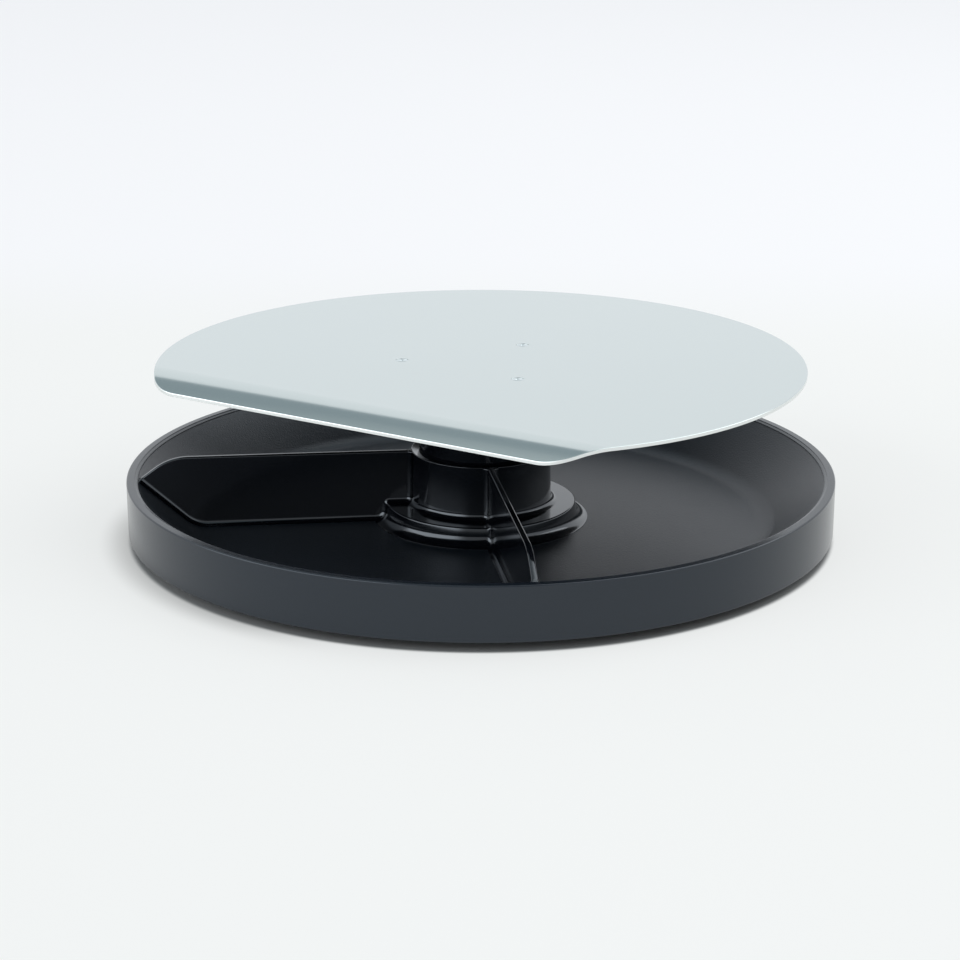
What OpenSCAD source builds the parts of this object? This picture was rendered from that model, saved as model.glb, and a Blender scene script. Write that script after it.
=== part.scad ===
// Turntable stand: a round storage tray on rubber feet, a short column with a riser that lifts
// out of it onto three height steps, and a sheet platform that turns on a ball thrust bearing.
// Origin on the desk at the turning axis, +Z up, front of the tray towards -Y.

/* [Tray] */
// Outer diameter of the storage tray
tray_d = 320; // [310:1:330]
// Height of the tray rim above the desk
rim_z = 28.1; // [26:0.1:31]
// Height of the tray floor above the desk
floor_z = 4.6; // [4.6:0.1:5]
// Number of rubber feet
foot_n = 6; // [4:1:8]

/* [Column] */
// Outer diameter of the column at its foot
column_d = 64; // [64:0.5:66]
// Height of the column mouth and of the dividers above the desk
column_top = 36.9; // [36:0.1:40]
// Thickness of a divider wall
divider_t = 2.8; // [2.4:0.1:3.4]
// Angle between the two dividers in front
divider_angle = 92; // [80:1:100]

/* [Riser] */
// Outer diameter of the riser tube
riser_d = 55.9; // [55.9:0.01:55.95]
// Drop from one height step to the next
step_rise = 10; // [8:1:10]
// Number of balls in the bearing
ball_n = 18; // [12:1:20]

/* [Platform] */
// Diameter of the platform
platform_d = 291.4; // [285:0.2:296]
// Height of the platform top above the desk
platform_top = 77.5; // [77.5:0.1:80]
// Thickness of the platform sheet
sheet_t = 1.6; // [1.5:0.1:2]
// Distance of the lip edge from the turning axis
lip_reach = 103.8; // [100:0.1:108]
// Angle by which the platform stands turned from the front of the tray
platform_turn = 5; // [-15:0.5:15]

/* [Hidden] */
$fn = 96;
eps = 0.01;
fit = 0.05;              // radial clearance of a running fit

// Tray
tray_r = tray_d / 2;
skirt_t = 2.4;           // outer wall
skirt_low = 4.1;         // lower edge of the outer wall
rim_w = 5.1;             // flat rim
edge_r = 0.5;
slope = 41.9;            // inner wall, from the floor
bowl_r = 15;             // fillet between floor and inner wall
shell_t = 2.6;           // inner wall
under_z = 1.6;           // underside of the floor
rim_in = tray_r - rim_w;
wall_top = rim_z - 1.3;                                  // top of the sloping wall
slope_foot = rim_in - (wall_top - floor_z) / tan(slope); // where the slope meets the floor plane
bowl_c = slope_foot - bowl_r * tan(slope / 2);           // radius of the fillet's centre
rib_n = 24;
rib_turn = 0.8;
hole_r = 32;             // central hole of the tray
foot_r = 9;
foot_sink = 0.8;
foot_ring = 112;         // feet stand on this radius

// Base plate and its screws
cover_r = 47;
cover_low = 1.9;
cover_top = 2.9;
screw_n = 6;
screw_ring = 37.2;
step_screw_ring = 20.7;
screw_hole = 2.2;
screw_shank = 1.55;
pilot_r = 1.6;
head_r = 3.6;
head_h = 2;
drive_w = 0.8;
drive_l = 4.2;
drive_deep = 1.1;

// Column
col_r = column_d / 2;
mouth_r = col_r - 0.4;   // the column tapers slightly
flange_z = 12.6;
flange_r = 43.1;
sweep_r = 5.2;           // fillet between flange and floor
root_r = 3;              // fillet between column and flange
bore_r = riser_d / 2 + fit;
relief_r = bore_r + 0.6;
relief_top = 22;
spigot_r = hole_r - 0.2;
seat_r = 29.5;           // seat of the height steps
seat_top = 6;
boss_r = 3.4;
pocket_in = 34.2;
pocket_out = 40.2;
pocket_top = 10.2;
crest_r = 15;            // rounded shoulder of a divider
crest_drop = 36;         // fall of a divider towards the rim
lay = 0.05;              // gap between a divider and the tray wall

// Height steps and riser
step_in = 17;
step_out = 24.4;
step_turn = 38;
step_mid = seat_top + step_rise;
riser_r = riser_d / 2;
riser_in = 25;
riser_low = step_mid + fit;  // underside of the lugs
tube_low = riser_low + 0.5;
lug_in = 18;
lug_h = 8;
lug_turn = 30;
flare_r = 8;
plate_r = 38;            // bearing plate of the riser
rib_t = 2.4;
rib_start = 10;
bush_seat = 6;
boss_out = 10;
boss_h = 14;

// Bearing and hub, stacked downwards from the platform
hub_top = platform_top - sheet_t;
hub_low = hub_top - 4.4;
hub_r = 43;
skirt_in = 41;
hub_skirt = hub_low - 10.5;
hub_boss = 12;
race_h = 3.8;
race_sink = 0.8;
race_in = 18.5;
race_out = 29.5;
ball_ring = 24;
ball_r = 2.5;
groove_r = ball_r + 0.1;
race_gap = 2;            // between the two races
up_low = hub_low + race_sink - race_h;
ball_z = up_low - race_gap / 2;
low_top = ball_z - race_gap / 2;
low_low = low_top - race_h;
plate_top = low_low + race_sink;
plate_low = plate_top - 3.5;
boss_low = plate_top - boss_h;
cage_h = 1.4;
bolt_r = 4;
bush_flange = 1.2;
bush_lip = 9;
hub_boss_low = plate_top + bush_flange + 0.4;
washer_t = 1.2;
thrust_low = boss_low - washer_t;
spring_h = 1.2;
spring_low = thrust_low - 0.1 - spring_h;
plain_low = spring_low - washer_t;
nut_h = 6.5;
nut_low = plain_low - nut_h;
hex_r = 7.5;
bolt_head_h = 3.4;
bolt_end = nut_low - 2.5;

// Platform
plat_r = platform_d / 2;
bend_r = 33;             // outer radius of the lip's bend
lip_fall = 32.6;         // slope of the lip at its edge
bend_at = lip_reach - bend_r * sin(lip_fall);
corner_r = 22;
corner_d = lip_reach - corner_r;
corner_u = sqrt(pow(plat_r - corner_r, 2) - pow(corner_d, 2));
rivet_ring = 35.5;
rivet_angles = [-60, 60, 180];
rivet_r = 2;
rivet_head = 2.75;
rivet_sink = 1;
rivet_washer_t = 0.8;
rivet_tail = 1;

// Points of an arc about c, from angle a0 to a1
function arc(c, r, a0, a1, n = 12) = [
  for (i = [0 : n]) let (a = a0 + (a1 - a0) * i / n) [c[0] + r * cos(a), c[1] + r * sin(a)]
];

// Inner surface of the tray from the rim down to the floor, pushed inwards by gap
function bowl_line(gap = 0) = concat(
  [[rim_in - gap, wall_top + gap]],
  arc([bowl_c, floor_z + bowl_r], bowl_r - gap, slope - 90, -90)
);

// One copy at each of n places around the axis
module around(n, radius, start = 0) {
  for (i = [0 : n - 1])
    rotate([0, 0, start + i * 360 / n])
      translate([radius, 0, 0]) children();
}

module ring(outer, inner, low, high) {
  translate([0, 0, low])
    difference() {
      cylinder(r = outer, h = high - low);
      translate([0, 0, -1]) cylinder(r = inner, h = high - low + 2);
    }
}

// Countersunk hole that a screw head sits in, opening downwards
module screw_sink() {
  translate([0, 0, cover_low - eps])
    cylinder(r1 = head_r + lay, r2 = screw_hole, h = head_h);
  cylinder(r = screw_hole, h = seat_top);
}

// Countersunk screw, head down, up to the height tip
module screw(tip) {
  difference() {
    union() {
      translate([0, 0, cover_low]) cylinder(r1 = head_r, r2 = screw_shank, h = head_h);
      translate([0, 0, cover_low]) cylinder(r = screw_shank, h = tip - cover_low);
    }
    for (a = [0, 90])
      rotate([0, 0, a])
        translate([-drive_l / 2, -drive_w / 2, cover_low - eps])
          cube([drive_l, drive_w, drive_deep]);
  }
}

module storage_tray() {
  drop = shell_t / cos(slope);
  under_foot = slope_foot + (under_z - floor_z + drop) / tan(slope);
  skirt_in_z = floor_z + (tray_r - skirt_t - slope_foot) * tan(slope) - drop;
  color("#2f3236")
    difference() {
      union() {
        rotate_extrude(convexity = 6)
          polygon(concat(
            [[tray_r, skirt_low]],
            arc([tray_r - edge_r, rim_z - edge_r], edge_r, 0, 90, 4),
            arc([rim_in + edge_r, rim_z - edge_r], edge_r, 90, 180, 4),
            bowl_line(),
            [
              [hole_r, floor_z],
              [hole_r, under_z],
              [under_foot, under_z],
              [tray_r - skirt_t, skirt_in_z],
              [tray_r - skirt_t, skirt_low]
            ]
          ));
        for (i = [0 : rib_n - 1])
          rotate([0, 0, (i + 0.5) * 360 / rib_n])
            rotate_extrude(angle = rib_turn)
              polygon([
                [under_foot + 2, under_z + 2],
                [tray_r - skirt_t + 1, skirt_low + 2],
                [tray_r - skirt_t + 1, skirt_in_z + 1],
                [tray_r - skirt_t, skirt_in_z + 1]
              ]);
      }
      translate([0, 0, under_z - 1]) cylinder(r = cover_r + 0.3, h = cover_top - under_z + 1);
      around(screw_n, screw_ring) screw_sink();
      around(foot_n, foot_ring, 30)
        translate([0, 0, under_z - 1]) cylinder(r = foot_r + 0.1, h = 1 + foot_sink);
    }
}

// Upright wall from the column to the rim, in the plane y = 0
module divider() {
  foot = rim_in - lay;
  crest_c = [foot - 30, column_top - crest_r];
  shoulder = [crest_c[0] + crest_r * sin(crest_drop), crest_c[1] + crest_r * cos(crest_drop)];
  run = (shoulder[1] - wall_top) / tan(crest_drop);
  shift = foot - 0.4 - (shoulder[0] + run);
  translate([0, divider_t / 2, 0])
    rotate([90, 0, 0])
      linear_extrude(divider_t)
        polygon(concat(
          [
            [col_r - 1, floor_z + lay],
            [col_r - 1, column_top]
          ],
          arc([crest_c[0] + shift, crest_c[1]], crest_r, 90, 90 - crest_drop),
          bowl_line(lay)
        ));
}

module divider_column() {
  color("#0b0b0d")
    difference() {
      union() {
        rotate_extrude(convexity = 6)
          polygon(concat(
            [[flange_r + 0.5 + sweep_r, floor_z]],
            arc([flange_r + 0.5 + sweep_r, floor_z + 0.2 + sweep_r], sweep_r, -90, -180, 8),
            arc([flange_r - 0.8, flange_z - 0.8], 0.8, 0, 90, 4),
            arc([col_r + root_r, flange_z + root_r], root_r, -90, -180, 6),
            arc([mouth_r - 0.6, column_top - 0.6], 0.6, 0, 90, 4),
            [
              [bore_r + 0.6, column_top],
              [bore_r, column_top - 0.6],
              [bore_r, relief_top],
              [relief_r, relief_top - 1],
              [relief_r, seat_top],
              [seat_r, seat_top],
              [seat_r, cover_top],
              [spigot_r, cover_top],
              [spigot_r, floor_z]
            ]
          ));
        for (side = [-1, 1])
          rotate([0, 0, -90 + side * divider_angle / 2]) divider();
      }
      difference() {
        ring(pocket_out, pocket_in, floor_z - 1, pocket_top);
        around(screw_n, screw_ring) cylinder(r = boss_r, h = flange_z);
      }
      around(screw_n, screw_ring) cylinder(r = pilot_r, h = flange_z - 1.6);
    }
}

module base_cover() {
  color("#1c1d20")
    difference() {
      translate([0, 0, cover_low]) cylinder(r = cover_r, h = cover_top - cover_low);
      around(screw_n, screw_ring) screw_sink();
      around(3, step_screw_ring) screw_sink();
    }
}

module base_screws() {
  color("#9a9ca0") around(screw_n, screw_ring) screw(flange_z - 2.6);
}

module step_screws() {
  color("#9a9ca0") around(3, step_screw_ring) screw(seat_top + 4);
}

module rubber_feet() {
  color("#151517")
    around(foot_n, foot_ring, 30)
      rotate_extrude()
        polygon([
          [0, 0],
          [foot_r - 0.9, 0],
          [foot_r - 0.3, 0.5],
          [foot_r, under_z + foot_sink],
          [0, under_z + foot_sink]
        ]);
}

// Three stairs of three steps each; the riser's lugs stand on the middle step
module height_steps() {
  color("#3a3c40")
    difference() {
      union() {
        ring(seat_r - 0.1, 12, cover_top, seat_top);
        for (i = [0 : 2])
          rotate([0, 0, i * 120]) {
            rotate([0, 0, -step_turn / 2])
              rotate_extrude(angle = step_turn)
                translate([step_in, seat_top - 1])
                  square([step_out - step_in, 1 + 2 * step_rise]);
            rotate([0, 0, 40 - step_turn / 2])
              rotate_extrude(angle = step_turn)
                translate([step_in, seat_top - 1])
                  square([step_out - step_in, 1 + step_rise]);
          }
      }
      around(3, step_screw_ring) {
        screw_sink();
        cylinder(r = pilot_r, h = seat_top + 6);
      }
    }
}

module riser_tube() {
  color("#0b0b0d") {
    rotate_extrude(convexity = 8)
      polygon(concat(
        [
          [riser_in, tube_low],
          [riser_r - 0.4, tube_low],
          [riser_r, tube_low + 0.4]
        ],
        arc([riser_r + flare_r, plate_low - flare_r], flare_r, 180, 90, 8),
        [
          [plate_r - 0.6, plate_low],
          [plate_r, plate_low + 0.6],
          [plate_r, plate_top - 0.6],
          [plate_r - 0.6, plate_top],
          [race_out + 0.1, plate_top],
          [race_out + 0.1, low_low],
          [race_in - 0.1, low_low],
          [race_in - 0.1, plate_top],
          [bush_seat, plate_top],
          [bush_seat, boss_low],
          [boss_out, boss_low],
          [boss_out, plate_low],
          [riser_in, plate_low]
        ]
      ));
    for (i = [0 : 5])
      rotate([0, 0, rib_start + i * 60])
        translate([boss_out - 0.5, -rib_t / 2, boss_low + 1])
          cube([riser_in - boss_out + 1, rib_t, plate_low - boss_low]);
    for (i = [0 : 2])
      rotate([0, 0, 40 + i * 120 - lug_turn / 2])
        rotate_extrude(angle = lug_turn)
          translate([lug_in, riser_low])
            square([riser_in - lug_in + 1.5, lug_h]);
  }
}

module pivot_bush() {
  color("#b08d57") {
    ring(bush_seat - 0.02, bolt_r + fit, boss_low, plate_top);
    ring(bush_lip, bolt_r + fit, plate_top, plate_top + bush_flange);
  }
}

module race(low) {
  color("#b9bcc0")
    difference() {
      ring(race_out, race_in, low, low + race_h);
      rotate_extrude() translate([ball_ring, ball_z]) circle(r = groove_r);
    }
}

module lower_race() { race(low_low); }

module upper_race() { race(up_low); }

module thrust_washer() {
  color("#e6e2d6") ring(bush_lip, bolt_r + 0.3, thrust_low, boss_low);
}

module ball_cage() {
  color("#d9d4c4")
    difference() {
      ring(race_out - 0.5, race_in + 0.5, ball_z - cage_h / 2, ball_z + cage_h / 2);
      around(ball_n, ball_ring) translate([0, 0, ball_z - 2]) cylinder(r = groove_r, h = 4);
    }
}

module bearing_balls() {
  color("#d4d6d9") around(ball_n, ball_ring) translate([0, 0, ball_z]) sphere(r = ball_r);
}

// Cap over the bearing, with a skirt around it and a boss that clamps the bolt
module spin_hub() {
  color("#1a1b1e")
    difference() {
      rotate_extrude(convexity = 6)
        polygon([
          [0, hub_boss_low],
          [hub_boss, hub_boss_low],
          [hub_boss, hub_low],
          [skirt_in, hub_low],
          [skirt_in, hub_skirt],
          [hub_r - 0.4, hub_skirt],
          [hub_r, hub_skirt + 0.4],
          [hub_r, hub_top - 1],
          [hub_r - 1, hub_top],
          [0, hub_top]
        ]);
      ring(race_out + 0.1, race_in - 0.1, hub_low - 1, hub_low + race_sink);
      translate([0, 0, hub_boss_low - 1]) cylinder(r = bolt_r + 0.02, h = 20);
      translate([0, 0, hub_top - bolt_head_h - 0.1]) cylinder(r = hex_r + 0.3, h = 10);
      rotate([0, 0, platform_turn - 90])
        for (a = rivet_angles)
          rotate([0, 0, a])
            translate([rivet_ring, 0, hub_low - 1]) cylinder(r = rivet_r + 0.05, h = 10);
    }
}

module pivot_bolt() {
  color("#a9acb0") {
    translate([0, 0, bolt_end]) cylinder(r = bolt_r, h = hub_top - 0.1 - bolt_end);
    translate([0, 0, hub_top - 0.1 - bolt_head_h]) cylinder(r = hex_r, h = bolt_head_h, $fn = 6);
  }
}

// Conical disc spring that takes up the play of the bearing
module spring_washer() {
  color("#8d9094")
    rotate_extrude()
      polygon([
        [bolt_r + 0.2, spring_low + spring_h - 0.6],
        [bolt_r + 0.2, spring_low + spring_h],
        [boss_out - 2, spring_low + 0.6],
        [boss_out - 2, spring_low]
      ]);
}

module plain_washer() {
  color("#a9acb0") ring(boss_out - 2, bolt_r + 0.2, plain_low, spring_low);
}

module lock_nut() {
  color("#a9acb0")
    difference() {
      union() {
        translate([0, 0, nut_low + 1.2]) cylinder(r = hex_r, h = nut_h - 1.2, $fn = 6);
        translate([0, 0, nut_low]) cylinder(r = hex_r - 1.6, h = nut_h);
      }
      translate([0, 0, nut_low - 1]) cylinder(r = bolt_r + 0.02, h = nut_h + 2);
    }
}

// One copy at each rivet, which turn with the platform
module at_rivets() {
  rotate([0, 0, platform_turn - 90])
    for (a = rivet_angles)
      rotate([0, 0, a]) translate([rivet_ring, 0, 0]) children();
}

module rivet_washers() {
  color("#a9acb0") at_rivets() ring(5, rivet_r + 0.1, hub_low - rivet_washer_t, hub_low);
}

module platform_rivets() {
  tail = hub_low - rivet_washer_t - rivet_tail;
  color("#c5c9cc")
    at_rivets() {
      translate([0, 0, tail]) cylinder(r = rivet_r, h = platform_top - tail);
      translate([0, 0, tail]) cylinder(r = rivet_r + 1.4, h = rivet_tail);
      translate([0, 0, platform_top - rivet_sink])
        cylinder(r1 = rivet_r, r2 = rivet_head, h = rivet_sink);
    }
}

// Plan of the platform: a disc cut straight at the lip, with round corners
module platform_plan() {
  turn = atan2(corner_d, corner_u);
  polygon(concat(
    arc([corner_u, -corner_d], corner_r, -90, -turn, 12),
    arc([0, 0], plat_r, 2 - turn, 178 + turn, 132),
    arc([-corner_u, -corner_d], corner_r, 180 + turn, 270, 12)
  ));
}

module platform() {
  reach = 60;
  color("#d3dadb")
    difference() {
      rotate([0, 0, platform_turn])
        intersection() {
          translate([0, 0, platform_top - reach / 2]) linear_extrude(reach) platform_plan();
          union() {
            translate([-plat_r - 1, -bend_at, platform_top - sheet_t])
              cube([2 * plat_r + 2, plat_r + bend_at + 1, sheet_t]);
            translate([-plat_r - 1, -bend_at, platform_top - bend_r])
              rotate([90, 0, 90])
                linear_extrude(2 * plat_r + 2)
                  intersection() {
                    difference() {
                      circle(r = bend_r, $fn = 256);
                      circle(r = bend_r - sheet_t, $fn = 256);
                    }
                    polygon([[0, 0], [0, reach], [-reach * tan(lip_fall), reach]]);
                  }
          }
        }
      at_rivets() {
        cylinder(r = rivet_r + 0.05, h = platform_top + 1);
        translate([0, 0, platform_top - rivet_sink])
          cylinder(r1 = rivet_r + 0.05, r2 = rivet_head + 0.05, h = rivet_sink + eps);
      }
    }
}

storage_tray();
divider_column();
base_cover();
base_screws();
rubber_feet();
height_steps();
step_screws();
riser_tube();
pivot_bush();
lower_race();
thrust_washer();
ball_cage();
bearing_balls();
upper_race();
spin_hub();
pivot_bolt();
spring_washer();
plain_washer();
lock_nut();
rivet_washers();
platform_rivets();
platform();
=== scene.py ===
import math
import bpy
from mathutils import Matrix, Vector


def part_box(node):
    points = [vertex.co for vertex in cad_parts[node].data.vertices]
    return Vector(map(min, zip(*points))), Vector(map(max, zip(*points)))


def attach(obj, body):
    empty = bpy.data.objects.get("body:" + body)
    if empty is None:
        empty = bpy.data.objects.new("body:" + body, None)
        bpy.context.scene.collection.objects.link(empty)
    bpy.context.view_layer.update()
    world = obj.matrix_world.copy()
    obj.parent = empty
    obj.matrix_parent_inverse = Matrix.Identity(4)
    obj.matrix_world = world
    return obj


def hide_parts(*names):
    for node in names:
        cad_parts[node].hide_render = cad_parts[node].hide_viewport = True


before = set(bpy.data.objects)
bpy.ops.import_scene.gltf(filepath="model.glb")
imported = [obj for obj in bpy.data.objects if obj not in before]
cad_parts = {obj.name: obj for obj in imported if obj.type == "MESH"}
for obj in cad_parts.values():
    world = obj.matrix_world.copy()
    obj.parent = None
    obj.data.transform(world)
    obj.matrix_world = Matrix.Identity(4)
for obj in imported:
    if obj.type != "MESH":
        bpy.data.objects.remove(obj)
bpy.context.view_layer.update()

mm = 0.001        # outlines are written in millimetres
weldGap = 2e-6    # metres, closes seams and poles


# ---- camera, made first
cameraValues = {
    "focalLength": 86.6,
    "sensorWidth": 36,
    "turn": 38.0,        # degrees to the right of the tray's front
    "distance": 1.0069,  # from the turning axis
    "height": 0.3364,
    "tilt": 72.63,
    "pan": 0.022,        # degrees to the left
}


def makeCamera():
    v = cameraValues
    turn = math.radians(v["turn"])
    reach = v["distance"]
    bpy.ops.object.camera_add(
        location=(reach * math.sin(turn), -reach * math.cos(turn), v["height"]),
        rotation=(math.radians(v["tilt"]), 0, turn + math.radians(v["pan"])),
    )
    camera = bpy.context.object
    camera.name = "standCamera"
    camera.data.lens = v["focalLength"]
    camera.data.sensor_width = v["sensorWidth"]
    camera.data.clip_start = 0.05
    camera.data.clip_end = 60
    bpy.context.scene.camera = camera


makeCamera()
print("camera ready")


# ---- shader wiring
class Wire:
    # A socket that can be used in sums
    def __init__(self, bench, socket):
        self.bench = bench
        self.socket = socket

    def sum(self, operation, first, second):
        return self.bench.add("ShaderNodeMath", {"operation": operation}, {0: first, 1: second})

    def __add__(self, other):
        return self.sum("ADD", self, other)

    def __radd__(self, other):
        return self.sum("ADD", other, self)

    def __sub__(self, other):
        return self.sum("SUBTRACT", self, other)

    def __rsub__(self, other):
        return self.sum("SUBTRACT", other, self)

    def __mul__(self, other):
        return self.sum("MULTIPLY", self, other)

    def __rmul__(self, other):
        return self.sum("MULTIPLY", other, self)

    def __truediv__(self, other):
        return self.sum("DIVIDE", self, other)


class Bench:
    # The node tree of one material or world
    def __init__(self, owner):
        owner.use_nodes = True
        self.tree = owner.node_tree
        self.tree.nodes.clear()

    def add(self, kind, settings=None, inputs=None, output=0):
        node = self.tree.nodes.new(kind)
        for name, value in (settings or {}).items():
            setattr(node, name, value)
        for name, value in (inputs or {}).items():
            socket = node.inputs[name]
            if isinstance(value, Wire):
                self.tree.links.new(value.socket, socket)
            elif isinstance(value, tuple) and len(value) == 3 and socket.type == "RGBA":
                socket.default_value = (*value, 1)
            else:
                socket.default_value = value
        return Wire(self, node.outputs[output]) if node.outputs else None

    def blend(self, amount, first, second):
        settings = {"data_type": "RGBA", "blend_type": "MIX"}
        inputs = {0: amount, 6: first, 7: second}
        return self.add("ShaderNodeMix", settings, inputs, output=2)


materials = {}


def newMaterial(name):
    # A material, its node tree and the place on the object
    material = bpy.data.materials.new(name)
    materials[name] = material
    bench = Bench(material)
    place = bench.add("ShaderNodeTexCoord", output=3)
    return bench, place


def noise(bench, place, scale, detail=2):
    inputs = {"Vector": place, "Scale": scale, "Detail": detail}
    return bench.add("ShaderNodeTexNoise", None, inputs)


def smoothShare(bench, value, low, high):
    # 0 up to low, 1 from high on, and smooth between them
    settings = {"interpolation_type": "SMOOTHSTEP"}
    return bench.add("ShaderNodeMapRange", settings, {"Value": value, 1: low, 2: high})


def along(bench, place, direction):
    # How far a place lies in a direction
    inputs = {0: place, 1: direction}
    return bench.add("ShaderNodeVectorMath", {"operation": "DOT_PRODUCT"}, inputs, output=1)


def fromAxis(bench, place):
    # Distance from the turning axis
    flat = bench.add("ShaderNodeVectorMath", {"operation": "MULTIPLY"}, {0: place, 1: (1, 1, 0)})
    return bench.add("ShaderNodeVectorMath", {"operation": "LENGTH"}, {0: flat}, output=1)


def finishMaterial(bench, colour, roughness, height=None, strength=0.2, distance=0.0001, **rest):
    inputs = {"Base Color": colour, "Roughness": roughness}
    for name, value in rest.items():
        inputs[name] = value
    if height:
        bump = {"Height": height, "Strength": strength, "Distance": distance}
        inputs["Normal"] = bench.add("ShaderNodeBump", None, bump)
    surface = bench.add("ShaderNodeBsdfPrincipled", None, inputs)
    bench.add("ShaderNodeOutputMaterial", None, {"Surface": surface})


trayPlasticValues = {
    "colour": (0.0058, 0.0086, 0.0132),
    "worn": (0.0094, 0.0130, 0.0188),
    "sheen": (0.86, 0.93, 1.0),
    "index": 1.53,
    "inside": (0.155, 0.0008),   # radius of the grained inside and width of the change, metres
    "insideRoughness": 0.36,
    "outsideRoughness": 0.18,
    "grain": 1250,         # bumps per metre
    "grainHeight": 0.00024,
}


def makeTrayPlastic():
    v = trayPlasticValues
    bench, place = newMaterial("trayPlastic")
    grain = noise(bench, place, v["grain"], 2)
    cloud = noise(bench, place, 22, 4)
    inside, change = v["inside"]
    outside = smoothShare(bench, fromAxis(bench, place), inside, inside + change)
    colour = bench.blend(cloud * 0.3 + grain * 0.7, v["colour"], v["worn"])
    roughness = v["insideRoughness"] + outside * (v["outsideRoughness"] - v["insideRoughness"])
    roughness = roughness - 0.03 + cloud * 0.03 + grain * 0.03
    height = grain * (1 - outside)
    rest = {"Specular Tint": v["sheen"], "IOR": v["index"]}
    finishMaterial(bench, colour, roughness, height, 0.5, v["grainHeight"], **rest)


glossBlackValues = {
    "colour": (0.0009, 0.0012, 0.0024),
    "dust": (0.0020, 0.0025, 0.0042),
    "sheen": (0.86, 0.93, 1.0),
    "index": 1.74,
    "roughness": 0.09,
    "waves": 130,
    "waveHeight": 0.00004,
}


def makeGlossBlack():
    v = glossBlackValues
    bench, place = newMaterial("glossBlack")
    waves = noise(bench, place, v["waves"], 1)
    specks = noise(bench, place, 2600, 2)
    cloud = noise(bench, place, 45, 3)
    colour = bench.blend(cloud, v["colour"], v["dust"])
    roughness = v["roughness"] + cloud * 0.05 + specks * 0.02
    height = waves + specks * 0.03
    rest = {"Specular Tint": v["sheen"], "IOR": v["index"]}
    finishMaterial(bench, colour, roughness, height, 0.25, v["waveHeight"], **rest)


platformSilverValues = {
    "colour": (0.598, 0.655, 0.645),
    "shade": (0.570, 0.628, 0.620),
    # under: painted shade, faces turned down are drawn near black and not metal, for the dark
    # under the platform
    "under": (0.050, 0.053, 0.057),
    "bareEdge": (0.760, 0.785, 0.775),
    "roughness": 0.11,
    "underRoughness": 0.52,
    "edgeRoughness": 0.34,
    "flake": 3600,
    "flakeHeight": 0.000006,
}


def makePlatformSilver():
    v = platformSilverValues
    bench, place = newMaterial("platformSilver")
    flake = noise(bench, place, v["flake"], 2)
    cloud = noise(bench, place, 9, 3)
    colour = bench.blend(cloud * 0.7 + flake * 0.3, v["shade"], v["colour"])
    facing = bench.add("ShaderNodeTexCoord", output=1)
    lean = along(bench, facing, (0, 0, 1))
    face = smoothShare(bench, lean, 0.3, 0.6)
    colour = bench.blend(face, v["bareEdge"], colour)
    # Painted shade: faces turned down take the near black under colour and lose their metal
    under = smoothShare(bench, 0 - lean, 0.5, 0.8)
    colour = bench.blend(under, colour, v["under"])
    roughness = v["roughness"] - 0.01 + cloud * 0.02 + flake * 0.02
    roughness = roughness + (1 - face) * (v["edgeRoughness"] - v["roughness"])
    roughness = roughness + under * (v["underRoughness"] - v["edgeRoughness"])
    metallic = 0.96 - under * 0.96
    finishMaterial(bench, colour, roughness, flake, 0.3, v["flakeHeight"], Metallic=metallic)


# Colour, second colour, roughness, metallic, grain per metre, grain height, strength
plainFinishes = {
    "hubPlastic": ((0.008, 0.008, 0.009), (0.013, 0.013, 0.015), 0.38, 0.0, 1600, 0.00003, 0.4),
    "stepPlastic": ((0.030, 0.031, 0.034), (0.045, 0.046, 0.050), 0.50, 0.0, 900, 0.00004, 0.5),
    "cagePlastic": ((0.60, 0.56, 0.46), (0.68, 0.65, 0.56), 0.42, 0.0, 500, 0.00002, 0.4),
    "footRubber": ((0.006, 0.006, 0.0065), (0.014, 0.014, 0.015), 0.72, 0.0, 1300, 0.00006, 0.7),
    "coverSteel": ((0.008, 0.008, 0.009), (0.016, 0.016, 0.018), 0.42, 0.0, 1100, 0.00005, 0.6),
    "zincSteel": ((0.50, 0.52, 0.55), (0.62, 0.63, 0.64), 0.28, 1.0, 800, 0.00001, 0.3),
    "raceSteel": ((0.56, 0.57, 0.59), (0.64, 0.65, 0.66), 0.22, 1.0, 2200, 0.00001, 0.3),
    "ballSteel": ((0.68, 0.69, 0.71), (0.74, 0.75, 0.76), 0.06, 1.0, 300, 0.00001, 0.1),
    "bushBrass": ((0.60, 0.40, 0.17), (0.70, 0.50, 0.24), 0.24, 1.0, 1500, 0.00001, 0.3),
    "rivetMetal": ((0.630, 0.690, 0.700), (0.690, 0.750, 0.755), 0.22, 0.96, 3600, 0.000006, 0.3),
}


def makePlainFinish(name):
    first, second, rough, metallic, grainScale, grainHeight, strength = plainFinishes[name]
    bench, place = newMaterial(name)
    grain = noise(bench, place, grainScale, 2)
    cloud = noise(bench, place, 60, 3)
    colour = bench.blend(cloud * 0.6 + grain * 0.4, first, second)
    roughness = rough - 0.04 + cloud * 0.08 + grain * 0.04
    finishMaterial(bench, colour, roughness, grain, strength, grainHeight, Metallic=metallic)


makeTrayPlastic()
makeGlossBlack()
makePlatformSilver()
for finish in plainFinishes:
    makePlainFinish(finish)
print("materials ready:", len(materials))


# ---- modelling helpers
def letGo():
    if bpy.context.mode != "OBJECT":
        bpy.ops.object.mode_set(mode="OBJECT")
    bpy.ops.object.select_all(action="DESELECT")


def pick(*pieces):
    letGo()
    for piece in pieces:
        piece.select_set(True)
    bpy.context.view_layer.objects.active = pieces[0]


def arc(centre, radius, start, end, count=8):
    # Points of an arc in an outline, degrees
    points = []
    for i in range(count + 1):
        a = math.radians(start + (end - start) * i / count)
        points.append((centre[0] + radius * math.cos(a), centre[1] + radius * math.sin(a)))
    return points


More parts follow.
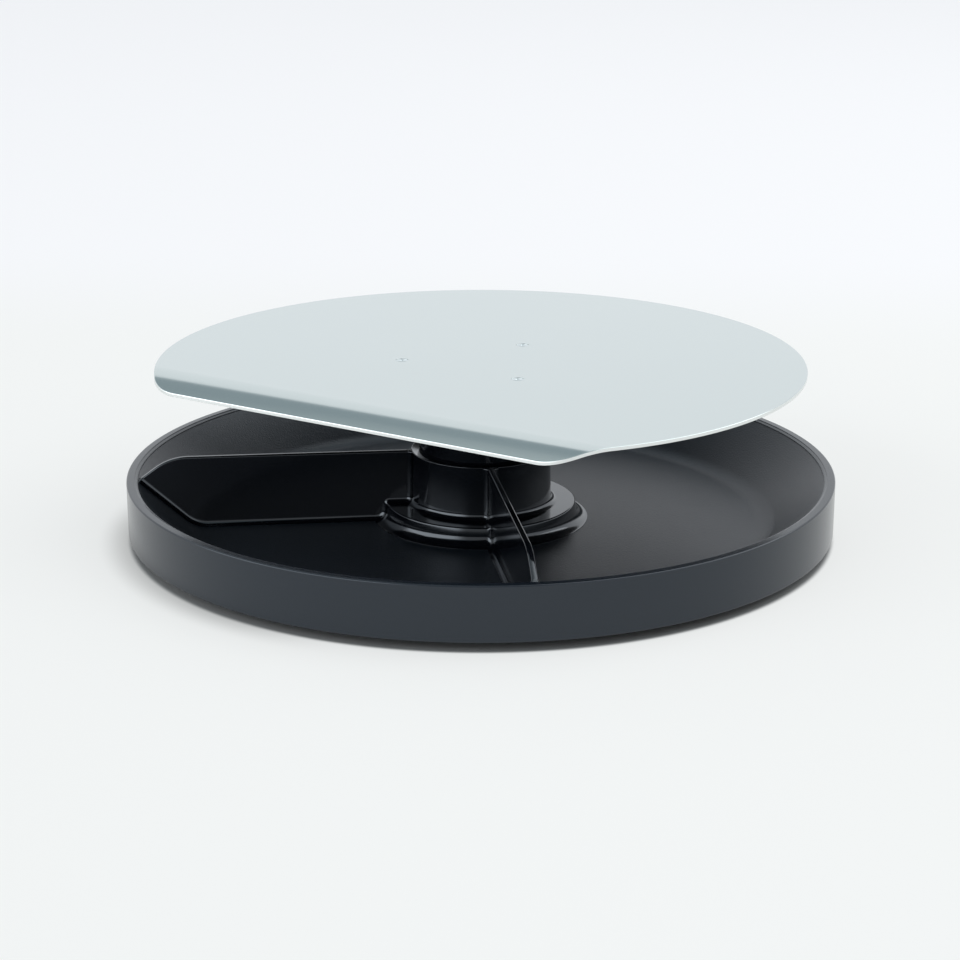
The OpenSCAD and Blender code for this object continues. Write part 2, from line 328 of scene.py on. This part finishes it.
def drawOutline(name, points):
    # A plane is merged to one point, which is pulled out along the outline
    letGo()
    bpy.ops.mesh.primitive_plane_add(size=0.01, location=(0, 0, 0))
    piece = bpy.context.object
    piece.name = piece.data.name = name
    bpy.ops.object.mode_set(mode="EDIT")
    bpy.ops.mesh.select_mode(type="VERT")
    bpy.ops.mesh.select_all(action="SELECT")
    bpy.ops.mesh.merge(type="CENTER")
    here = Vector((0, 0, 0))
    for count, point in enumerate(points):
        step = Vector(point) * mm - here
        if count:
            bpy.ops.mesh.extrude_vertices_move(TRANSFORM_OT_translate={"value": step})
        else:
            bpy.ops.transform.translate(value=step)
        here = here + step
    bpy.ops.mesh.select_all(action="SELECT")
    bpy.ops.mesh.remove_doubles(threshold=weldGap)
    return piece


def closeUp():
    bpy.ops.mesh.select_all(action="SELECT")
    bpy.ops.mesh.remove_doubles(threshold=weldGap)
    bpy.ops.mesh.normals_make_consistent(inside=False)
    bpy.ops.object.mode_set(mode="OBJECT")


def choose(piece, kind, test):
    # Leaves the piece in edit mode with those of its points, edges or faces selected
    pick(piece)
    bpy.ops.object.mode_set(mode="EDIT")
    bpy.ops.mesh.select_mode(type=kind)
    bpy.ops.mesh.select_all(action="DESELECT")
    bpy.ops.object.mode_set(mode="OBJECT")
    items = {"VERT": "vertices", "EDGE": "edges", "FACE": "polygons"}[kind]
    for item in getattr(piece.data, items):
        item.select = bool(test(item))
    bpy.ops.object.mode_set(mode="EDIT")


def lathe(name, profile, steps=192):
    piece = drawOutline(name, [(r, 0, z) for r, z in profile])
    bpy.ops.mesh.spin(steps=steps, angle=2 * math.pi, center=(0, 0, 0), axis=(0, 0, 1))
    closeUp()
    return piece


def prism(name, outline, low, high):
    # A closed outline in the plane y = low, pulled out to y = high
    piece = drawOutline(name, [(x, low, z) for x, z in outline + outline[:1]])
    bpy.ops.mesh.edge_face_add()
    pull = {"value": (0, (high - low) * mm, 0)}
    bpy.ops.mesh.extrude_region_move(TRANSFORM_OT_translate=pull)
    closeUp()
    return piece


def turnedCopies(piece, angles, ring=0):
    # One copy at each angle, each with its own mesh, joined to one object
    copies = []
    for angle in angles:
        copied = piece.copy()
        copied.data = piece.data.copy()
        bpy.context.collection.objects.link(copied)
        turn = math.radians(angle)
        copied.rotation_euler.z = turn
        copied.location = (ring * mm * math.cos(turn), ring * mm * math.sin(turn), 0)
        copies.append(copied)
    name = piece.name
    bpy.data.objects.remove(piece)
    pick(*copies)
    bpy.ops.object.transform_apply(location=True, rotation=True, scale=True)
    if len(copies) > 1:
        bpy.ops.object.join()
    joined = bpy.context.object
    joined.name = joined.data.name = name
    return joined


def combine(piece, other, operation):
    pick(piece)
    bpy.ops.object.modifier_add(type="BOOLEAN")
    modifier = piece.modifiers[-1]
    modifier.operation = operation
    modifier.solver = "MANIFOLD"
    modifier.object = other
    bpy.ops.object.modifier_apply(modifier=modifier.name)
    bpy.data.objects.remove(other)


def smooth(piece, angle=32):
    pick(piece)
    bpy.ops.object.shade_smooth_by_angle(angle=math.radians(angle))
    bpy.ops.object.modifier_add(type="WEIGHTED_NORMAL")
    modifier = piece.modifiers[-1]
    modifier.keep_sharp = True
    bpy.ops.object.modifier_apply(modifier=modifier.name)


def finishPiece(piece, body, slot, material, *nodes):
    # Gives a piece its material and its body, and hides the CAD nodes it stands in for
    piece.data.materials.clear()
    piece.data.materials.append(materials[material])
    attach(piece, body)
    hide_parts(*nodes)
    print("piece", piece.name, len(piece.data.polygons), "faces")


# ---- storage tray
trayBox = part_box("storage_tray")
trayValues = {
    "radius": trayBox[1].x / mm,
    "rim": trayBox[1].z / mm,
    "rimWidth": 5.1,
    "rimFlat": 3.6,       # width of the rim's flat part, outside its small step
    "rimStep": 0.35,
    "ledgeFall": 0.4,
    "rimEdge": 0.7,
    "slopeTop": 1.3,      # how far below the rim the slope begins
    "wall": 2.4,
    "lowEdge": 4.1,
    "slope": 41.9,
    "floor": 4.6,
    "under": 1.6,
    "fillet": 15.0,
    "shell": 2.6,
    "holeRadius": 32.0,
    "coverRecess": (47.3, 2.9),
    "ribs": 24,
    "ribWidth": 2.0,
    "footRing": 112.0,
    "footPocket": (9.1, 0.8),
    "feet": 6,
    "screws": 6,
}
footAngles = [30 + i * 360 / trayValues["feet"] for i in range(trayValues["feet"])]
screwAngles = [i * 360 / trayValues["screws"] for i in range(trayValues["screws"])]
screwRing = 37.2


def trayLine(gap=0.0):
    # Inner surface from the rim down to the floor
    v = trayValues
    slope = math.radians(v["slope"])
    rimIn = v["radius"] - v["rimWidth"]
    top = v["rim"] - v["slopeTop"]
    foot = rimIn - (top - v["floor"]) / math.tan(slope)
    centre = (foot - v["fillet"] * math.tan(slope / 2), v["floor"] + v["fillet"])
    bowl = arc(centre, v["fillet"] - gap, v["slope"] - 90, -90, 20)
    return [(rimIn - gap, top + gap)] + bowl, foot


def makeTray():
    v = trayValues
    inner, foot = trayLine()
    radius, rim, low, edge = v["radius"], v["rim"], v["lowEdge"], v["rimEdge"]
    flatIn, step = radius - v["rimFlat"], v["rimStep"]
    ledgeIn = radius - v["rimWidth"]
    ledgeZ = rim - step - v["ledgeFall"]
    slope = math.radians(v["slope"])
    drop = v["shell"] / math.cos(slope)
    underFoot = foot + (v["under"] - v["floor"] + drop) / math.tan(slope)
    wallIn = radius - v["wall"]
    wallInTop = v["floor"] + (wallIn - foot) * math.tan(slope) - drop
    recess, recessTop = v["coverRecess"]
    outer = arc((radius - 0.6, low + 0.6), 0.6, -90, 0, 5)
    outer += arc((radius - edge, rim - edge), edge, 0, 90, 7)
    outer += arc((flatIn + step / 2, rim - step / 2), step / 2, 90, 180, 3)
    outer += [(flatIn, rim - step), (flatIn - 0.1, rim - step)]
    outer += arc((ledgeIn + 0.2, ledgeZ - 0.2), 0.2, 75, 180, 4)
    under = [(v["holeRadius"], v["floor"]), (v["holeRadius"], recessTop), (recess, recessTop)]
    under += [(recess, v["under"]), (underFoot, v["under"]), (wallIn, wallInTop)]
    under += [(wallIn, low + 0.4), (wallIn + 0.4, low)]
    profile = outer + inner + under
    tray = lathe("trayShell", profile + profile[:1], 240)
    half = v["ribWidth"] / 2
    ribLine = [
        (underFoot + 2, v["under"] + 2),
        (wallIn + 1, low + 2),
        (wallIn + 1, wallInTop + 1),
        (wallIn, wallInTop + 1),
    ]
    rib = prism("trayRib", ribLine, -half, half)
    step = 360 / v["ribs"]
    ribs = turnedCopies(rib, [(i + 0.5) * step for i in range(v["ribs"])])
    combine(tray, ribs, "UNION")
    size, deep = v["footPocket"]
    line = [(0, v["under"] - 1), (size + 0.6, v["under"] - 0.6), (size, v["under"])]
    line += [(size, v["under"] + deep), (0, v["under"] + deep)]
    pocket = lathe("footPocket", line, 48)
    combine(tray, turnedCopies(pocket, footAngles, v["footRing"]), "DIFFERENCE")
    hole = lathe("screwHole", [(0, 2), (2.2, 2), (2.2, 6), (0, 6)], 24)
    combine(tray, turnedCopies(hole, screwAngles, screwRing), "DIFFERENCE")
    smooth(tray)
    finishPiece(tray, "base", "tray_plastic", "trayPlastic", "storage_tray")


makeTray()


# ---- column and dividers
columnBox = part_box("divider_column")
columnValues = {
    "top": columnBox[1].z / mm,
    "foot": 32.0,         # radius where the column stands on its flange
    "mouth": 31.6,
    "mouthEdge": 0.3,
    "mouthFall": 0.8,    # the mouth's top slopes inwards
    "bore": 28.0,
    "flange": (43.1, 12.6),
    "flangeEdge": 0.8,
    "root": 3.0,
    "sweep": 5.2,
    "sweepEnd": 48.8,
    "spigot": 31.8,
}
dividerValues = {
    "thickness": 2.8,
    "fillet": 2.5,       # between a divider and what it stands on
    "filletSteps": 7,
    "apart": 92.0,
    "crestRadius": 25.0,
    "crestFall": 36.0,
    "tip": (154.45, 26.8),
    "topEdge": 0.75,
    "sink": 0.03,
    "lay": 0.05,
}


def columnLine(move=0.0):
    # Outer surface from the mouth down to the end of the sweep
    v = columnValues
    flange, flangeTop = v["flange"]
    edge, root, sweep = v["flangeEdge"], v["root"], v["sweep"]
    line = arc((v["foot"] + root, flangeTop + root), root, 180, 270, 10)
    line += arc((flange - edge, flangeTop - edge), edge, 90, 0, 5)
    line += arc((v["sweepEnd"], 4.8 + sweep), sweep, 180, 270, 12)
    return [(r - move, z - move) for r, z in line]


def crestLine():
    # Top edge of a divider from the column to the rim
    v = dividerValues
    fall = math.radians(v["crestFall"])
    top, radius = columnValues["top"] - 0.05, v["crestRadius"]
    tipR, tipZ = v["tip"]
    shoulderZ = top - radius * (1 - math.cos(fall))
    shoulderR = tipR - (shoulderZ - tipZ) / math.tan(fall)
    centre = (shoulderR - radius * math.sin(fall), top - radius)
    return [(20, top)] + arc(centre, radius, 90, 90 - v["crestFall"], 10)


def makeDivider(name, angle):
    v = dividerValues
    half = v["thickness"] / 2 + v["fillet"]
    inner, _ = trayLine(v["lay"])
    slope = math.tan(math.radians(trayValues["slope"]))
    rimR, rimZ = inner[0]
    outline = [(columnValues["mouth"] - v["sink"] - 0.25, 60)]
    outline += columnLine(v["sink"])
    outline += inner[:0:-1]
    outline += [(rimR + 20, rimZ + 20 * slope), (rimR + 20, 60)]
    piece = drawOutline(name, [(r, -half, z) for r, z in outline + outline[:1]])
    bpy.ops.mesh.edge_face_add()
    bpy.ops.mesh.extrude_region_move(TRANSFORM_OT_translate={"value": (0, 2 * half * mm, 0)})
    bpy.ops.mesh.select_all(action="SELECT")
    bpy.ops.mesh.normals_make_consistent(inside=False)
    choose(piece, "FACE", lambda face: abs(face.normal.y) > 0.9)
    steps, radius = v["filletSteps"], v["fillet"] * mm
    for i in range(steps):
        a, b = (math.radians(90 * k / steps) for k in (i, i + 1))
        inward = radius * (math.cos(a) - math.cos(b))
        deeper = radius * (math.sin(b) - math.sin(a))
        bpy.ops.mesh.inset(thickness=inward, depth=-deeper, use_even_offset=True)
    bpy.ops.object.mode_set(mode="OBJECT")
    crest = crestLine()
    tipR, tipZ = v["tip"]
    drop = math.tan(math.radians(v["crestFall"]))
    above = crest + [(tipR + 30, tipZ - 30 * drop), (tipR + 60, tipZ - 30 * drop)]
    above += [(tipR + 60, 90), (20, 90)]
    combine(piece, prism("aboveCrest", above, -12, 12), "DIFFERENCE")
    softenCrest(piece, crest)
    return turnedCopies(piece, [angle])


def onCrest(point, crest):
    # True for a point in the divider's top surface
    r, z = point.x / mm, point.z / mm
    line = crest + [dividerValues["tip"]]
    for (r0, z0), (r1, z1) in zip(line, line[1:]):
        across = (r1 - r0) * (z - z0) - (z1 - z0) * (r - r0)
        if r0 - 0.1 <= r <= r1 + 1.0 and abs(across) < 0.02 * math.hypot(r1 - r0, z1 - z0):
            return True
    return False


def softenCrest(piece, crest):
    mesh = piece.data
    points = mesh.vertices
    top = {v.index for v in points if onCrest(v.co, crest)}
    counts = {}
    for face in mesh.polygons:
        if all(i in top for i in face.vertices):
            for key in face.edge_keys:
                counts[key] = counts.get(key, 0) + 1

    def isTopEdge(edge):
        a, b = (points[i].co for i in edge.vertices)
        return counts.get(tuple(sorted(edge.vertices)), 0) == 1 and a.y * b.y > 0

    choose(piece, "EDGE", isTopEdge)
    bpy.ops.mesh.bevel(offset=dividerValues["topEdge"] * mm, segments=3, affect="EDGES")
    bpy.ops.object.mode_set(mode="OBJECT")


def makeColumn():
    v = columnValues
    top, edge, bore = v["top"], v["mouthEdge"], v["bore"]
    profile = [(v["spigot"], 4.65), (v["sweepEnd"], 4.65)] + columnLine()[::-1]
    profile += arc((v["mouth"] - edge, top - edge), edge, 0, 90, 6)
    profile += arc((bore + edge, top - edge - v["mouthFall"]), edge, 90, 180, 5)
    profile += [(bore, 22), (bore + 0.6, 21), (bore + 0.6, 6), (29.5, 6), (29.5, 2.9)]
    profile += [(v["spigot"], 2.9)]
    column = lathe("columnMoulding", profile + profile[:1], 240)
    for name, side in (("rightDivider", 1), ("leftDivider", -1)):
        wall = makeDivider(name, -90 + side * dividerValues["apart"] / 2)
        combine(column, wall, "UNION")
    pilot = lathe("pilotHole", [(0, 2), (1.6, 2), (1.6, 11), (0, 11)], 24)
    combine(column, turnedCopies(pilot, screwAngles, screwRing), "DIFFERENCE")
    smooth(column)
    finishPiece(column, "base", "gloss_black", "glossBlack", "divider_column")


makeColumn()


# ---- riser
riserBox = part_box("riser_tube")
riserValues = {
    "radius": 27.95,
    "inner": 25.0,
    "low": 16.55,
    "lugLow": riserBox[0].z / mm,
    "lugs": 3,
    "plate": riserBox[1].x / mm,
    "plateTop": riserBox[1].z / mm,
    "plateLow": 60.0,
    "flare": 8.0,
    "raceSeat": (18.4, 29.6, 62.7),
    "bushSeat": 6.0,
    "boss": (10.0, 49.5),
}


def makeRiser():
    v = riserValues
    radius, plate, top, low = v["radius"], v["plate"], v["plateTop"], v["plateLow"]
    raceIn, raceOut, raceLow = v["raceSeat"]
    boss, bossLow = v["boss"]
    profile = [(v["inner"], v["low"]), (radius - 0.4, v["low"]), (radius, v["low"] + 0.4)]
    profile += arc((radius + v["flare"], low - v["flare"]), v["flare"], 180, 90, 12)
    profile += arc((plate - 0.6, low + 0.6), 0.6, -90, 0, 4)
    profile += arc((plate - 0.6, top - 0.6), 0.6, 0, 90, 4)
    profile += [(raceOut, top), (raceOut, raceLow), (raceIn, raceLow), (raceIn, top)]
    profile += [(v["bushSeat"], top), (v["bushSeat"], bossLow)]
    profile += [(boss - 0.5, bossLow), (boss, bossLow + 0.5), (boss, low - 1.5)]
    profile += arc((boss + 1.5, low - 1.5), 1.5, 180, 90, 4)
    profile += arc((v["inner"] - 1.5, low - 1.5), 1.5, 90, 0, 4)
    riser = lathe("riserTube", profile + profile[:1], 192)
    web = prism("riserWeb", [(9.5, 50.5), (25.5, 50.5), (25.5, 61), (9.5, 61)], -1.2, 1.2)
    combine(riser, turnedCopies(web, [10 + i * 60 for i in range(6)]), "UNION")
    inner, lugLow = v["inner"], v["lugLow"]
    lug = drawOutline(
        "riserLug",
        [(18, 0, lugLow), (inner + 1.5, 0, lugLow), (inner + 1.5, 0, lugLow + 8)]
        + [(19, 0, lugLow + 8), (18, 0, lugLow + 7), (18, 0, lugLow)],
    )
    bpy.ops.mesh.edge_face_add()
    bpy.ops.mesh.spin(steps=12, angle=math.radians(30), center=(0, 0, 0), axis=(0, 0, 1))
    closeUp()
    low, high = (f(math.atan2(p.co.y, p.co.x) for p in lug.data.vertices) for f in (min, max))
    middle = math.degrees(low + high) / 2
    lugs = turnedCopies(lug, [40 - middle + i * 120 for i in range(v["lugs"])])
    combine(riser, lugs, "UNION")
    smooth(riser)
    finishPiece(riser, "riser", "gloss_black", "glossBlack", "riser_tube")


makeRiser()


# ---- hub
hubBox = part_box("spin_hub")
hubValues = {
    "radius": hubBox[1].x / mm,
    "top": hubBox[1].z / mm,
    "skirtLow": 61.0,
    "skirtInner": 41.0,
    "under": 71.5,
    "boss": (12.0, 65.1),
    "raceSeat": (18.4, 29.6, 72.3),
    "boltHole": 4.02,
    "headSeat": (7.8, 72.4),
}
platformTurn = 5 - 90
rivetAngles = [platformTurn + a for a in (-60, 60, 180)]
rivetRing = 35.5


def makeHub():
    v = hubValues
    radius, top, under, skirt = v["radius"], v["top"], v["under"], v["skirtLow"]
    raceIn, raceOut, raceTop = v["raceSeat"]
    boss, bossLow = v["boss"]
    seat, seatLow = v["headSeat"]
    profile = [(v["boltHole"], bossLow), (boss - 0.6, bossLow), (boss, bossLow + 0.6)]
    profile += arc((boss + 1, under - 1), 1, 180, 90, 4)
    profile += [(raceIn, under), (raceIn, raceTop), (raceOut, raceTop), (raceOut, under)]
    profile += arc((v["skirtInner"] - 1, under - 1), 1, 90, 0, 4)
    profile += arc((radius - 0.9, skirt + 0.9), 0.9, 180, 360, 8)
    profile += arc((radius - 1.2, top - 1.2), 1.2, 0, 90, 5)
    profile += [(seat, top), (seat, seatLow), (v["boltHole"], seatLow)]
    hub = lathe("hubCap", profile + profile[:1], 192)
    hole = lathe("rivetHole", [(0, 68), (2.05, 68), (2.05, 78), (0, 78)], 32)
    combine(hub, turnedCopies(hole, rivetAngles, rivetRing), "DIFFERENCE")
    smooth(hub)
    finishPiece(hub, "deck", "hub_plastic", "hubPlastic", "spin_hub")


makeHub()


# ---- platform
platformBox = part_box("platform")
platformValues = {
    "top": platformBox[1].z / mm,
    "radius": 145.7,
    "sheet": 1.6,
    "lipReach": 103.8,
    "bendRadius": 33.0,
    "bendFall": 32.6,
    "bendRows": 22,
    "corner": 22.0,
    "turn": 5.0,
    "topEdge": 0.32,
    "lowEdge": 0.15,
}


def makePlatform():
    v = platformValues
    radius, corner, reach = v["radius"], v["corner"], v["lipReach"]
    cornerD = reach - corner
    cornerU = math.sqrt((radius - corner) ** 2 - cornerD ** 2)
    turn = math.degrees(math.atan2(cornerD, cornerU))
    plan = arc((cornerU, -cornerD), corner, -90, -turn, 20)
    plan += arc((0, 0), radius, 1.2 - turn, 178.8 + turn, 300)
    plan += arc((-cornerU, -cornerD), corner, 180 + turn, 270, 20)
    sheet = drawOutline("platformSheet", [(x, y, v["top"]) for x, y in plan + plan[:1]])
    bpy.ops.mesh.edge_face_add()
    bendAt = reach - v["bendRadius"] * math.sin(math.radians(v["bendFall"]))
    for i in range(v["bendRows"]):
        d = bendAt + (reach - bendAt) * i / v["bendRows"]
        bpy.ops.mesh.select_all(action="SELECT")
        bpy.ops.mesh.bisect(plane_co=(0, -d * mm, v["top"] * mm), plane_no=(0, 1, 0))
    bpy.ops.mesh.select_all(action="SELECT")
    bpy.ops.mesh.remove_doubles(threshold=weldGap)
    bpy.ops.object.mode_set(mode="OBJECT")
    lowerRows(sheet, bendAt)
    choose(sheet, "FACE", lambda face: True)
    thick = {"value": (0, 0, -v["sheet"] * mm)}
    bpy.ops.mesh.extrude_region_move(TRANSFORM_OT_translate=thick)
    closeUp()
    for side, width in ((1, v["topEdge"]), (-1, v["lowEdge"])):
        keys = brims(sheet, side)
        choose(sheet, "EDGE", lambda edge: tuple(sorted(edge.vertices)) in keys)
        bpy.ops.mesh.bevel(offset=width * mm, segments=4, affect="EDGES", loop_slide=False)
        bpy.ops.object.mode_set(mode="OBJECT")
    sheet = turnedCopies(sheet, [v["turn"]])
    seat = [(0, 79), (2.92, 79), (2.92, 77.6), (2.92, 77.2), (2.05, 76.3), (2.05, 74), (0, 74)]
    hole = lathe("rivetSeat", seat, 48)
    combine(sheet, turnedCopies(hole, rivetAngles, rivetRing), "DIFFERENCE")
    smooth(sheet)
    finishPiece(sheet, "deck", "platform_silver", "platformSilver", "platform")


def brims(piece, side):
    # Edges between the upright side and the top (1) or the underside (-1)
    kinds = {}
    for face in piece.data.polygons:
        up = face.normal.z
        kind = 0 if abs(up) < 0.1 else math.copysign(1, up)
        for key in face.edge_keys:
            kinds.setdefault(key, set()).add(kind)
    return {key for key, kind in kinds.items() if kind == {0, side}}


def lowerRows(sheet, bendAt):
    # Points past the bend line go down along the bend, row by row
    radius = platformValues["bendRadius"]
    rows = sorted({round(-p.co.y / mm, 4) for p in sheet.data.vertices})
    for d in rows:
        if d <= bendAt:
            continue
        fall = radius - math.sqrt(radius ** 2 - (d - bendAt) ** 2)
        choose(sheet, "VERT", lambda point: abs(-point.co.y / mm - d) < 0.0001)
        bpy.ops.transform.translate(value=(0, 0, -fall * mm))
        bpy.ops.object.mode_set(mode="OBJECT")


makePlatform()


# ---- rivets
rivetValues = {"head": 2.78, "shank": 1.98, "pit": 0.8, "tail": (3.4, 69.7)}


def makeRivets():
    v = rivetValues
    top, head, pit = platformValues["top"], v["head"], v["pit"]
    tail, tailLow = v["tail"]
    profile = [(0, top - 0.62), (pit * 0.7, top - 0.5), (pit, top - 0.14)]
    profile += [(pit + 0.25, top - 0.03), (head * 0.6, top - 0.01), (head - 0.45, top - 0.06)]
    profile += [(head - 0.12, top - 0.24), (head, top - 0.5), (v["shank"], top - 1.25)]
    profile += [(v["shank"], tailLow + 1.0), (tail - 0.3, tailLow + 1.0), (tail, tailLow + 0.7)]
    profile += [(tail - 0.5, tailLow + 0.2), (tail - 1.4, tailLow), (0, tailLow)]
    rivet = lathe("rivet", profile, 48)
    rivets = turnedCopies(rivet, rivetAngles, rivetRing)
    rivets.name = rivets.data.name = "rivetHeads"
    smooth(rivets)
    finishPiece(rivets, "deck", "rivet_metal", "rivetMetal", "platform_rivets")


makeRivets()


# ---- feet
footValues = {"radius": 9.0, "top": 2.4, "grooves": (2.6, 4.4, 6.2)}


def makeFeet():
    v = footValues
    radius, top = v["radius"], v["top"]
    profile = [(0, 0)]
    for r in v["grooves"]:
        profile += [(r - 0.35, 0), (r - 0.2, 0.4), (r + 0.2, 0.4), (r + 0.35, 0)]
    profile += arc((radius - 0.9, 0.8), 0.8, -90, 0, 4)
    profile += [(radius, 1.2), (radius, top - 0.2), (radius - 0.2, top), (0, top)]
    foot = lathe("foot", profile, 64)
    feet = turnedCopies(foot, footAngles, trayValues["footRing"])
    feet.name = feet.data.name = "rubberFeet"
    smooth(feet)
    finishPiece(feet, "base", "foot_rubber", "footRubber", "rubber_feet")


makeFeet()


# ---- finishes of the parts that stay as they are
keptParts = {
    "base_cover": "coverSteel",
    "base_screws": "zincSteel",
    "height_steps": "stepPlastic",
    "step_screws": "zincSteel",
    "pivot_bush": "bushBrass",
    "lower_race": "raceSteel",
    "thrust_washer": "cagePlastic",
    "ball_cage": "cagePlastic",
    "bearing_balls": "ballSteel",
    "upper_race": "raceSteel",
    "pivot_bolt": "zincSteel",
    "spring_washer": "zincSteel",
    "plain_washer": "zincSteel",
    "lock_nut": "zincSteel",
    "rivet_washers": "zincSteel",
}
for node, finish in keptParts.items():
    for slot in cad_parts[node].material_slots:
        slot.material = materials[finish]
print("kept parts finished:", len(keptParts))


# ---- floor, light and surroundings
stageValues = {
    "floorRadius": 30.0,
    "near": (0.878, 0.888, 0.880),
    "far": (0.905, 0.912, 0.932),
    "farTurn": 34.8,      # direction of the far part, degrees from +Y to -X
    "farFrom": 0.30,
    "farTo": 0.62,
    "glow": 0.72,         # share of the floor's own brightness in what is seen
    "paintedUnderShadow": 0.36,      # painted shadow under the tray: share of the floor's brightness left there
    "contact": (157.8, 161.0),     # radii between which the painted shadow under the tray gives way to the bright floor, mm
    "shade": 0.40,        # strength of the soft shadow on one side
    "shadeDepth": 0.06,   # share of the floor's brightness in its darkest part
    "shadeReach": (157.0, 175.0),  # radii between which it ends
    "shadeTurn": 243.0,   # its direction, degrees from +X
    "shadeSpread": (0.70, 0.95),   # cosines of its half angle, where it starts and is full
    "horizon": (0.975, 1.005, 1.04),
    "overhead": (0.32, 0.385, 0.42),
    "zenith": (0.57, 0.63, 0.65),
    "zenithRise": (0.74, 0.92),    # sines of height between which overhead turns to zenith
    "edge": (0.612, 0.642),        # sines between which the horizon turns to overhead
    "screen": (2.7, 2.8, 2.9),     # soft white screen at the left
    "screenSide": (0.30, 0.55),    # sines to the left between which it begins
    "screenFront": (-0.22, 0.02),  # the same towards the front
    "screenTop": (0.66, 0.76),     # sines of height between which it ends
    "front": (0.54, 0.55, 0.56),
    "frontTurn": 38.0,    # the darker gap in the room, degrees from -Y to +X
    "gap": (15.0, 27.0),  # half angles between which it ends, degrees
    "gapStart": 0.15,     # sine towards the front at which it is full
}
lightValues = {
    "name": "softKey",
    "azimuth": 52.0,      # degrees, 0 is +X
    "elevation": 52.0,
    "reach": 2.4,
    "size": 2.8,
    "power": 31.0,
}


def makeFloor():
    v = stageValues
    letGo()
    bpy.ops.mesh.primitive_circle_add(
        vertices=128, radius=v["floorRadius"], fill_type="NGON", location=(0, 0, 0)
    )
    floor = bpy.context.object
    floor.name = "paleFloor"
    material = bpy.data.materials.new("paleFloor")
    bench = Bench(material)
    place = bench.add("ShaderNodeTexCoord", output=3)
    turn = math.radians(v["farTurn"])
    reach = along(bench, place, (-math.sin(turn), math.cos(turn), 0))
    beyond = smoothShare(bench, reach, v["farFrom"], v["farTo"])
    colour = bench.blend(beyond, v["near"], v["far"])
    out = fromAxis(bench, place)
    # Painted shadow under the tray: inside the contact radii the floor has a darker colour and no
    # glow
    pastPaintedShadow = smoothShare(bench, out, *(c * mm for c in v["contact"]))
    # Painted soft shadow on the floor along one side of the tray
    turn = math.radians(v["shadeTurn"])
    toward = along(bench, place, (math.cos(turn), math.sin(turn), 0)) / out
    soft = 1 - smoothShare(bench, out, *(c * mm for c in v["shadeReach"]))
    soft = soft * smoothShare(bench, toward, *v["shadeSpread"]) * v["shade"]
    paintedShadowColour = tuple(v["paintedUnderShadow"] * c for c in v["near"])
    dark = tuple(v["shadeDepth"] * c for c in v["near"])
    colour = bench.blend(soft, colour, dark)
    colour = bench.blend(pastPaintedShadow, paintedShadowColour, colour)
    paint = bench.add("ShaderNodeBsdfDiffuse", None, {"Color": colour})
    shine = bench.add("ShaderNodeEmission", None, {"Color": colour, "Strength": 1.0})
    path = "ShaderNodeLightPath"    # rays from the camera, from gloss and through glass
    seen = bench.add(path, output=0) + bench.add(path, output=3) + bench.add(path, output=6)
    glow = seen * pastPaintedShadow * v["glow"]
    lit = bench.add("ShaderNodeMixShader", None, {0: glow, 1: paint, 2: shine})
    behind = bench.add("ShaderNodeNewGeometry", output=6)
    clear = bench.add("ShaderNodeBsdfTransparent")
    surface = bench.add("ShaderNodeMixShader", None, {0: behind, 1: lit, 2: clear})
    bench.add("ShaderNodeOutputMaterial", None, {"Surface": surface})
    floor.data.materials.append(material)


def makeLight():
    v = lightValues
    turn, rise = math.radians(v["azimuth"]), math.radians(v["elevation"])
    level = math.cos(rise)
    where = Vector((math.cos(turn) * level, math.sin(turn) * level, math.sin(rise)))
    letGo()
    bpy.ops.object.light_add(type="AREA", location=where * v["reach"])
    light = bpy.context.object
    light.name = v["name"]
    light.rotation_euler = where.to_track_quat("Z", "Y").to_euler()
    light.data.shape = "DISK"
    light.data.size = v["size"]
    light.data.energy = v["power"]


def makeSurroundings():
    v = stageValues
    world = bpy.data.worlds.new("studio")
    bpy.context.scene.world = world
    bench = Bench(world)
    place = bench.add("ShaderNodeTexCoord", output=0)
    height = along(bench, place, (0, 0, 1))
    above = bench.blend(smoothShare(bench, height, *v["zenithRise"]), v["overhead"], v["zenith"])
    share = smoothShare(bench, height, *v["edge"])
    turn = math.radians(v["frontTurn"])
    front = along(bench, place, (math.sin(turn), -math.cos(turn), 0))
    aside = along(bench, place, (math.cos(turn), math.sin(turn), 0))
    screen = smoothShare(bench, 0 - aside, *v["screenSide"])
    screen = screen * smoothShare(bench, front, *v["screenFront"])
    screen = screen * (1 - smoothShare(bench, height, *v["screenTop"]))
    low = bench.blend(screen, v["horizon"], v["screen"])
    aside = bench.add("ShaderNodeMath", {"operation": "ABSOLUTE"}, {0: aside})
    ahead = bench.add("ShaderNodeMath", {"operation": "MAXIMUM"}, {0: front, 1: 0.01})
    inner, outer = (math.tan(math.radians(half)) for half in v["gap"])
    gap = 1 - smoothShare(bench, aside / ahead, inner, outer)
    gap = gap * smoothShare(bench, front, 0, v["gapStart"])
    colour = bench.blend(share, bench.blend(gap, low, v["front"]), above)
    light = bench.add("ShaderNodeBackground", None, {"Color": colour, "Strength": 1.0})
    bench.add("ShaderNodeOutputWorld", None, {"Surface": light})


makeFloor()
makeLight()
makeSurroundings()
bpy.context.scene.view_settings.view_transform = "Standard"
letGo()
print("stage ready")
